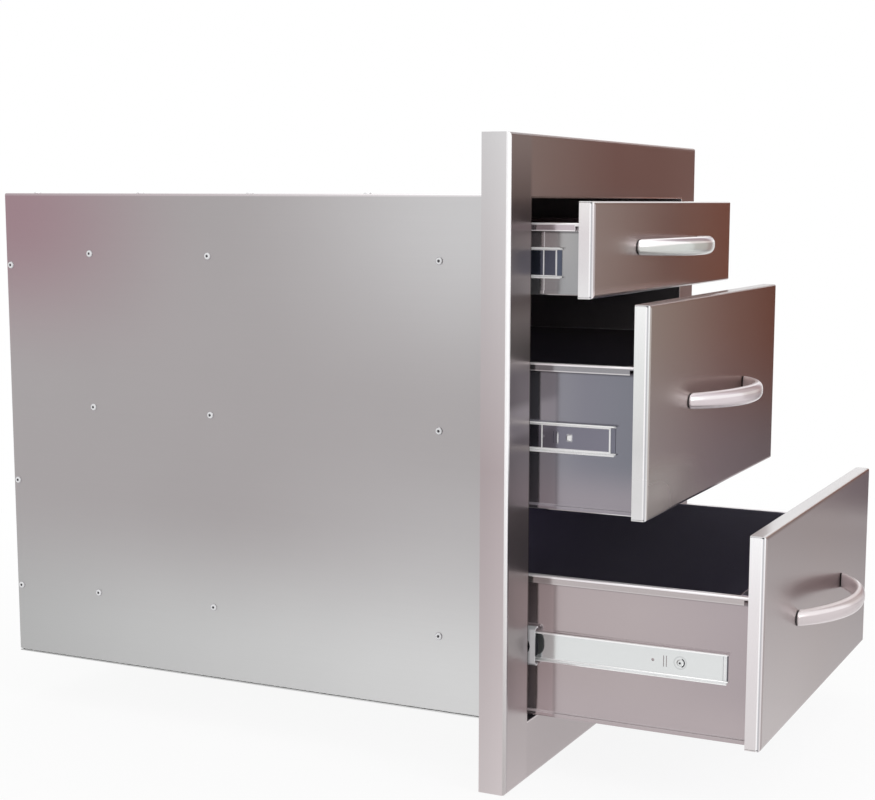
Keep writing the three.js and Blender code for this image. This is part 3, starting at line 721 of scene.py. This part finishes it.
# Each handle is a half-round stainless bar bent to an arc, narrower at its two feet
# than in the middle, and cut off along the front, where thin black seats lie under it.
# Studs hold it from inside.
handle_half = 0.100
handle_reach = 0.041
bar_thickness = 0.0094
bar_crown = 0.0074
bar_middle_half = 0.0093
bar_foot_half = 0.0074
bow_radius = (handle_half ** 2 + handle_reach ** 2) / (2 * handle_reach)
bow_spare = 0.06
bow_turn = math.asin(handle_half / bow_radius) + bow_spare
bar_squareness = 0.8
bow_steps = 56
bar_sides = 36
foot_gap = 0.0009

handle_reflection_tones = {
    "top": (srgb(214, 214, 211), srgb(204, 208, 204), srgb(196, 196, 194), srgb(170, 160, 160)),
    "middle": (srgb(216, 205, 208), srgb(214, 204, 207), srgb(206, 198, 199), srgb(194, 187, 187)),
    "bottom": (srgb(208, 199, 200), srgb(208, 198, 199), srgb(204, 195, 196), srgb(200, 191, 192)),
}
crest_highlight_tones = {"top": srgb(255, 251, 251), "middle": srgb(238, 231, 233), "bottom": srgb(238, 230, 231)}
over_reflection_tones = {"top": srgb(196, 185, 193), "middle": srgb(210, 198, 203), "bottom": srgb(216, 206, 208)}
under_light_tones = {"top": srgb(222, 224, 222), "middle": srgb(236, 226, 229), "bottom": srgb(232, 222, 224)}
crest_places = {"top": 0.0040, "middle": 0.0032, "bottom": 0.0046}
crest_reaches = {"top": (0.0046, 0.0013), "middle": (0.0028, 0.0018), "bottom": (0.0026, 0.0018)}
crest_ends = {"top": (0.085, 0.04), "middle": (0.05, -0.02), "bottom": (0.06, -0.02)}
crest_narrow = -0.045
inner_tone = srgb(252, 242, 244)
inner_fade = 0.0008
over_fade = 0.002
edge_band = (bar_foot_half - 0.0016, bar_foot_half - 0.0006)
under_band = (-0.0042, -0.0070)
right_matt = (-0.03, 0.05)
right_matt_share = 0.5
handle_mirror = 0.55
handle_matt = 0.45
handle_drop = {"top": 0.0, "middle": 0.0008, "bottom": 0.0027}
seat_shrink = 0.0006
seat_overlap = 0.0001


def moulded(name, grain_scale, dark, light, rough, shine):
    """A black plastic with a fine grain."""
    finish, spot = bare_finish(name)
    grain = spot.add("ShaderNodeTexNoise", None, {"Vector": spot, "Scale": grain_scale, "Detail": 2})
    relief = spot.add("ShaderNodeBump", None, {"Strength": 0.2, "Distance": 0.0002, "Height": grain})
    skin = spot.add("ShaderNodeBsdfPrincipled", None, {
        "Base Color": grain.blend(dark, light), "Roughness": grain * 0.2 + rough,
        "Specular IOR Level": shine, "Normal": relief})
    spot.add("ShaderNodeOutputMaterial", None, {"Surface": skin})
    return finish


def bow(bm, face, height, shrink, front, back):
    """A bent half-round bar, cut off at a place behind and, unless it is None, at one in front."""
    ring = bmesh.ops.create_circle(bm, segments=bar_sides, radius=1)["verts"]
    bmesh.ops.rotate(bm, verts=ring, matrix=Matrix.Rotation(math.pi / 2, 3, "Y"))
    for vert in ring:
        outward = -vert.co.y
        depth = bar_crown if outward > 0 else bar_thickness - bar_crown
        vert.co = (0, -(bow_radius - bar_crown + outward * (depth - shrink)),
                   math.copysign(abs(vert.co.z) ** bar_squareness, vert.co.z)
                   * (bar_middle_half - shrink))
    turn = Matrix.Rotation(-bow_turn, 3, "Z")
    bmesh.ops.rotate(bm, verts=ring, cent=(0, 0, 0), matrix=turn)
    bmesh.ops.spin(bm, geom=ring + bm.edges[:], cent=(0, 0, 0), axis=(0, 0, 1), dvec=(0, 0, 0),
                   angle=2 * bow_turn, steps=bow_steps, use_merge=False)
    for vert in bm.verts:
        out = 1 - (vert.co.x / handle_half) ** 2
        vert.co.z *= (bar_foot_half + (bar_middle_half - bar_foot_half) * max(out, 0)) / bar_middle_half
    centre = face - handle_reach + bow_radius
    bmesh.ops.translate(bm, verts=bm.verts, vec=(0, centre, height))
    for plane, away in ((back, (0, 1, 0)), (front, (0, -1, 0))):
        if plane is None:
            continue
        cut = bmesh.ops.bisect_plane(bm, geom=bm.verts[:] + bm.edges[:] + bm.faces[:], dist=1e-6,
                                     plane_co=(0, plane, 0), plane_no=away, clear_outer=True)
        loose = [item for item in cut["geom_cut"] if isinstance(item, bmesh.types.BMEdge)]
        bmesh.ops.holes_fill(bm, edges=loose, sides=0)


seat_black = moulded("seat_black", grain_scale=900, dark=srgb(14, 14, 16), light=srgb(28, 28, 31),
                     rough=0.5, shine=0.5)

for drawer in drawers:
    low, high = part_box(f"{drawer}_drawer_front_skin")
    height = (low[2] + high[2]) / 2 - handle_drop[drawer]
    bow_centre = low[1] - handle_reach + bow_radius

    def bar_inside(x, y):
        inner_radius = bow_radius - bar_crown
        return x.away(y - bow_centre).step(inner_radius, inner_radius - inner_fade)

    def bar_edge(x, z):
        swell = (1 - x * x * (1 / handle_half ** 2)) * (bar_middle_half - bar_foot_half)
        return (abs(z - height) - swell).step(*edge_band)

    def bar_under(z):
        return (z - height).step(*under_band)

    def bar_paint(x, y, z):
        place = crest_places[drawer]
        # The bar's tones are painted reflections: darker towards its right end, different above its
        # crest, and lighter below it.
        bar = x.ramp(-handle_half, handle_half, *handle_reflection_tones[drawer])
        bar = (z - height).step(place, place + over_fade).blend(bar, over_reflection_tones[drawer])
        bar = bar_under(z).blend(bar, under_light_tones[drawer])
        # A painted highlight along the crest and the edges of the bar.
        reach = x.step(-handle_half, crest_narrow, *crest_reaches[drawer])
        crest = (z - height).near(place, reach) * x.step(*crest_ends[drawer])
        bar = crest.most(bar_edge(x, z)).blend(bar, crest_highlight_tones[drawer])
        # The inside of the bow is painted near white, a painted light against the shade between it and
        # the front.
        return bar_inside(x, y).blend(bar, inner_tone)

    def bar_metal(x, y, z):
        matt = bar_edge(x, z).most(bar_inside(x, y)).most(x.step(*right_matt) * right_matt_share)
        if drawer == "bottom":
            matt = matt * (1 - bar_under(z))
        else:
            matt = matt.most(bar_under(z))
        return handle_mirror - matt * handle_matt

    handle_steel = brushed(f"{drawer}_handle_steel", bar_paint, lines=0.04, brush="X", metal=bar_metal)
    bm = bmesh.new()
    bow(bm, low[1], height, 0, None, low[1] - foot_gap)
    bar = attach(bm, f"{drawer}_handle_bar", f"{drawer}_drawer", handle_steel)
    for polygon in bar.data.polygons:
        polygon.use_smooth = len(polygon.vertices) == 4
    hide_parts(f"{drawer}_drawer_handle")
    bm = bmesh.new()
    bow(bm, low[1], height, seat_shrink, low[1] - foot_gap - seat_overlap, low[1] + seat_overlap)
    attach(bm, f"{drawer}_handle_seats", f"{drawer}_drawer", seat_black)


# The drawer boxes are thinner stainless sheet, with rims folded out along the top of
# their sides and a hem at the foot. Each is painted with a different reflection of the room.
box_reflection_tones = {
    "top": (srgb(160, 160, 161), srgb(174, 172, 172), srgb(176, 170, 172)),
    "middle": (srgb(124, 125, 134), srgb(130, 129, 139), srgb(146, 145, 152)),
    "bottom": (srgb(174, 163, 166), srgb(182, 171, 172), srgb(178, 166, 167)),
}
box_foot_reflection_tones = {
    "top": srgb(160, 160, 162),
    "middle": srgb(152, 146, 153),
    "bottom": srgb(182, 171, 173),
}
inner_tones = {
    "top": (srgb(202, 198, 200), srgb(208, 196, 200), srgb(214, 190, 196)),
    "middle": (srgb(184, 180, 192), srgb(184, 180, 192), srgb(184, 180, 192), srgb(140, 128, 132)),
    "bottom": (srgb(184, 180, 194), srgb(184, 180, 194)),
}
rim_light_tones = {
    "top": srgb(196, 184, 190),
    "middle": srgb(148, 146, 150),
    "bottom": srgb(186, 178, 178),
}
foot_highlight_tones = {
    "top": srgb(214, 212, 214),
    "middle": srgb(228, 226, 228),
    "bottom": srgb(182, 171, 173),
}
notch_light_and_shade_tones = {
    "top": srgb(252, 248, 250),
    "middle": srgb(84, 78, 84),
    "bottom": srgb(116, 104, 106),
}
hem_light_tones = {
    "top": srgb(160, 160, 162),
    "middle": srgb(164, 158, 165),
    "bottom": srgb(194, 184, 186),
}
rim_glints = {"top": 0.9, "middle": 0.5, "bottom": 0.15}
rim_drop = 0.0075
rim_foot_rise = (-0.0002, 0)
rim_edge = (0.2080, 0.2084)
rim_light = (0.0005, 0.0008)
rim_head = (-0.0022, -0.0015)
rim_head_reach = (0.2046, 0.2052)
rim_shade = (-0.0030, -0.0008)
rim_shade_share = 0.6
rim_shade_tone = srgb(60, 56, 60)
inner_face = (0.2051, 0.2047)
box_mirror = (0.9, 0.78)
light_matt = 0.5
light_tone = srgb(252, 248, 250)
# A painted reflection of the opening's edge lies a little before it, as a light line on the top
# drawer's wall and on the rails of the two upper drawers.
mirror_line = frame_face - 0.0079
mirror_line_half = 0.0008
wall_line_reach = (-0.2049, -0.2052)
wall_line_rise = (-0.0006, -0.0010)
notch_line = (0.0045, 0.0041)
wall_glint_start = (frame_face - 0.0232, frame_face - 0.0195)
wall_glint_end = (frame_face + 0.09, frame_face)
wall_glint_gain = 0.4
wall_foot = (0.05, 0.01)
foot_line = (0.0012, 0.0004)
hem_line = (0.0044, 0.0016)
hem_shares = {"top": 0, "middle": 1, "bottom": 1}

for drawer in drawers:
    low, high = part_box(f"{drawer}_drawer_left_side")
    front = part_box(f"{drawer}_drawer_front_skin")[1][1]
    rim_foot = high[2] - rim_drop

    def light_lines(x, y, z):
        """The painted highlight lines on the rim, and on the top drawer those of its wall and notch."""
        foot = (z - rim_foot).near(*rim_light) * abs(x).step(*rim_edge) * rim_glints[drawer]
        head = (z - high[2]).step(*rim_head) * abs(x).step(*rim_head_reach)
        lines = head.most(foot)
        if drawer == "top":
            wall = x.step(*wall_line_reach) * (z - rim_foot).step(*wall_line_rise)
            lines = lines.most(y.near(mirror_line, mirror_line_half) * wall)
            notch = (y - low[1]).step(*notch_line) * (z - rim_foot).step(*rim_foot_rise)
            lines = lines.most(notch)
        return lines

    def hem_edge(z):
        return (z - low[2]).near(*hem_line) * hem_shares[drawer]

    def box_paint(x, y, z):
        # The walls are painted with a different reflection of the room on each drawer, with another tone
        # low down.
        wall = y.ramp(front, frame_face, *box_reflection_tones[drawer])
        wall = (z - low[2]).step(*wall_foot).blend(wall, box_foot_reflection_tones[drawer])
        # The hem's top edge is painted lighter, a painted light over the line of shade there.
        wall = hem_edge(z).blend(wall, hem_light_tones[drawer])
        # A band of painted highlight on the walls just before the frame, fading out behind it.
        glint = y.step(*wall_glint_start) * y.step(*wall_glint_end)
        wall = wall.shade(glint * wall_glint_gain + 1)
        shade = (z - rim_foot).step(*rim_shade) * rim_shade_share
        wall = shade.blend(wall, rim_shade_tone)
        # Behind the rim's notch the wall is painted light on the top drawer and dark on the others:
        # painted light and shade.
        wall = (z - rim_foot).step(*rim_foot_rise).blend(wall, notch_light_and_shade_tones[drawer])
        # The rim's outer band is painted in its own lighter tone, a painted light.
        wall = abs(x).step(*rim_edge).blend(wall, rim_light_tones[drawer])
        inner = z.ramp(low[2], high[2], *inner_tones[drawer])
        wall = abs(x).step(*inner_face).blend(wall, inner)
        wall = light_lines(x, y, z).blend(wall, light_tone)
        # A painted highlight line along the foot of the walls.
        return (z - low[2]).step(*foot_line).blend(wall, foot_highlight_tones[drawer])

    def box_metal(x, y, z):
        light = light_lines(x, y, z).most(hem_edge(z))
        return abs(x).step(*inner_face, *box_mirror) - light * light_matt

    box_steel = brushed(f"{drawer}_box_steel", box_paint, gloss=0.13, lines=0.03, brush="Y",
                        metal=box_metal)
    for sheet in ("left_side", "right_side", "box_front", "box_back", "floor"):
        dress(f"{drawer}_drawer_{sheet}", box_steel)


# Each slide is three rolled steel rails with bright zinc plating, and two rows of balls
# between each pair. The inner rail's flanges are painted white along their curves, a painted
# highlight, and a small tab bent from the same sheet closes its front end.
web_reflection_tones = {
    "top": (srgb(118, 124, 142), srgb(104, 110, 128)),
    "middle": (srgb(124, 122, 134), srgb(120, 118, 130)),
    "bottom": (srgb(226, 228, 228), srgb(224, 226, 226)),
}
flange_widths = {"top": 0.0026, "middle": 0.0034, "bottom": 0.0022}
flange_rise = (-0.0004, 0.0002)
flange_highlight_tone = srgb(255, 255, 255)
flange_matt = {"top": 0.85, "middle": 0.85, "bottom": 0.3}
rail_mirror = 0.9
mirror_band = 0.0009
notch_length = 0.0050
notch_light = (notch_length + 0.0007, 0.0011)
screw_place = 0.0454
screw_light = (0.0034, 0.0042)
slit_light = (0.0572, 0.0010)
slit_light_height = (-0.0008, 0.0066)
slit_light_share = 0.7
screw_ring = (0.0058, 0.0009)
screw_ring_share = 0.2
screw_ring_shade_tone = srgb(120, 122, 126)
screw_hook = (0.0040, 0.0008)
screw_hook_side = (screw_place - 0.001, screw_place - 0.002)
screw_dot = (0.0014, 0.0007)
screw_shade_tone = srgb(44, 44, 50)
tab_light_and_shade_tones = {"top": srgb(92, 100, 120), "middle": srgb(120, 120, 134), "bottom": srgb(246, 247, 248)}
tab_end_shade_tones = {"top": srgb(92, 100, 120), "middle": srgb(120, 120, 134), "bottom": srgb(98, 96, 104)}
tab_fold = (0.0012, 0.0020)
tab_place = 0.20575
tab_sheet = 0.0006
tab_length = notch_length - 0.0006
tab_set_back = 0.0002
tab_half = 0.0117
tab_round = 0.0001
zinc_tones = (srgb(226, 228, 231), srgb(230, 232, 234))
zinc = brushed("zinc_plate", lambda x, y, z: z.ramp(0, 0.5, *zinc_tones), lines=0.04, brush="Y",
               metal=lambda x, y, z: 0.45)

for drawer in drawers:
    low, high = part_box(f"{drawer}_left_drawer_rail")
    level = (low[2] + high[2]) / 2
    web_half = (high[2] - low[2]) / 2 - flange_widths[drawer]

    def flange(y, z):
        """The painted highlights on the drawer rail's flanges, and on the two upper drawers its painted
        highlight marks.
        """
        along = y - low[1]
        edge = (abs(z - level) - web_half).step(*flange_rise)
        if drawer != "bottom":
            edge = edge.most(along.near(*notch_light)).most(y.near(mirror_line, mirror_band))
            screw = along.near(screw_place, screw_light[0]) * (z - level).near(0, screw_light[1])
            slits = along.near(*slit_light) * (z - level).near(*slit_light_height)
            edge = edge.most(screw).most(slits * slit_light_share)
        return edge

    def rail_paint(x, y, z):
        # The web is painted with a reflection of its surroundings, dark and bluish on the two upper
        # drawers.
        web = y.ramp(low[1], frame_face, *web_reflection_tones[drawer])
        if drawer == "bottom":
            # On the bottom rail the screw is painted on with a faint dark ring, a dark dot and a dark
            # hook: painted shade of its head.
            away = (y - low[1] - screw_place).away(z - level)
            web = (away.near(*screw_ring) * screw_ring_share).blend(web, screw_ring_shade_tone)
            hook = away.near(*screw_hook) * (y - low[1]).step(*screw_hook_side)
            web = hook.most(away.step(*screw_dot)).blend(web, screw_shade_tone)
        return flange(y, z).blend(web, flange_highlight_tone)

    def rail_metal(x, y, z):
        return rail_mirror - flange(y, z) * flange_matt[drawer]

    def tab_paint(x, y, z):
        # The tab is painted dark on the two upper drawers and light on the bottom one, with a darker
        # front end there: painted shade and light.
        return (y - low[1]).step(*tab_fold).blend(tab_end_shade_tones[drawer], tab_light_and_shade_tones[drawer])

    rail_zinc = brushed(f"{drawer}_rail_zinc", rail_paint, gloss=0.12, lines=0.02, brush="Y",
                        metal=rail_metal)
    for side in ("left", "right"):
        dress(f"{drawer}_{side}_drawer_rail", rail_zinc)
        for rail in ("cabinet_rail", "middle_rail", "outer_ball_cage"):
            dress(f"{drawer}_{side}_{rail}", zinc)
    bm = bmesh.new()
    for side in (-1, 1):
        tab = bmesh.ops.create_cube(bm, size=1)["verts"]
        bmesh.ops.scale(bm, verts=tab, vec=(tab_sheet, tab_length, 2 * tab_half))
        bmesh.ops.translate(bm, verts=tab, vec=(
            side * tab_place, low[1] + notch_length / 2 + tab_set_back, level))
    bmesh.ops.bevel(bm, geom=bm.edges[:], offset=tab_round, offset_type="OFFSET", segments=2, profile=0.5,
                    affect="EDGES", material=-1)
    tab_zinc = brushed(f"{drawer}_tab_zinc", tab_paint, gloss=0.3, lines=0.04, metal=lambda x, y, z: 0.2)
    attach(bm, f"{drawer}_rail_end_tabs", f"{drawer}_drawer", tab_zinc)


# A black moulded retainer holds the inner rows of balls, and guides the drawer's
# rail in where the slide's two moving stages meet.
cage_black = moulded("cage_black", grain_scale=700, dark=srgb(12, 12, 18), light=srgb(28, 28, 36),
                     rough=0.3, shine=0.25)

for drawer in drawers:
    for side in ("left", "right"):
        dress(f"{drawer}_{side}_inner_ball_cage", cage_black)
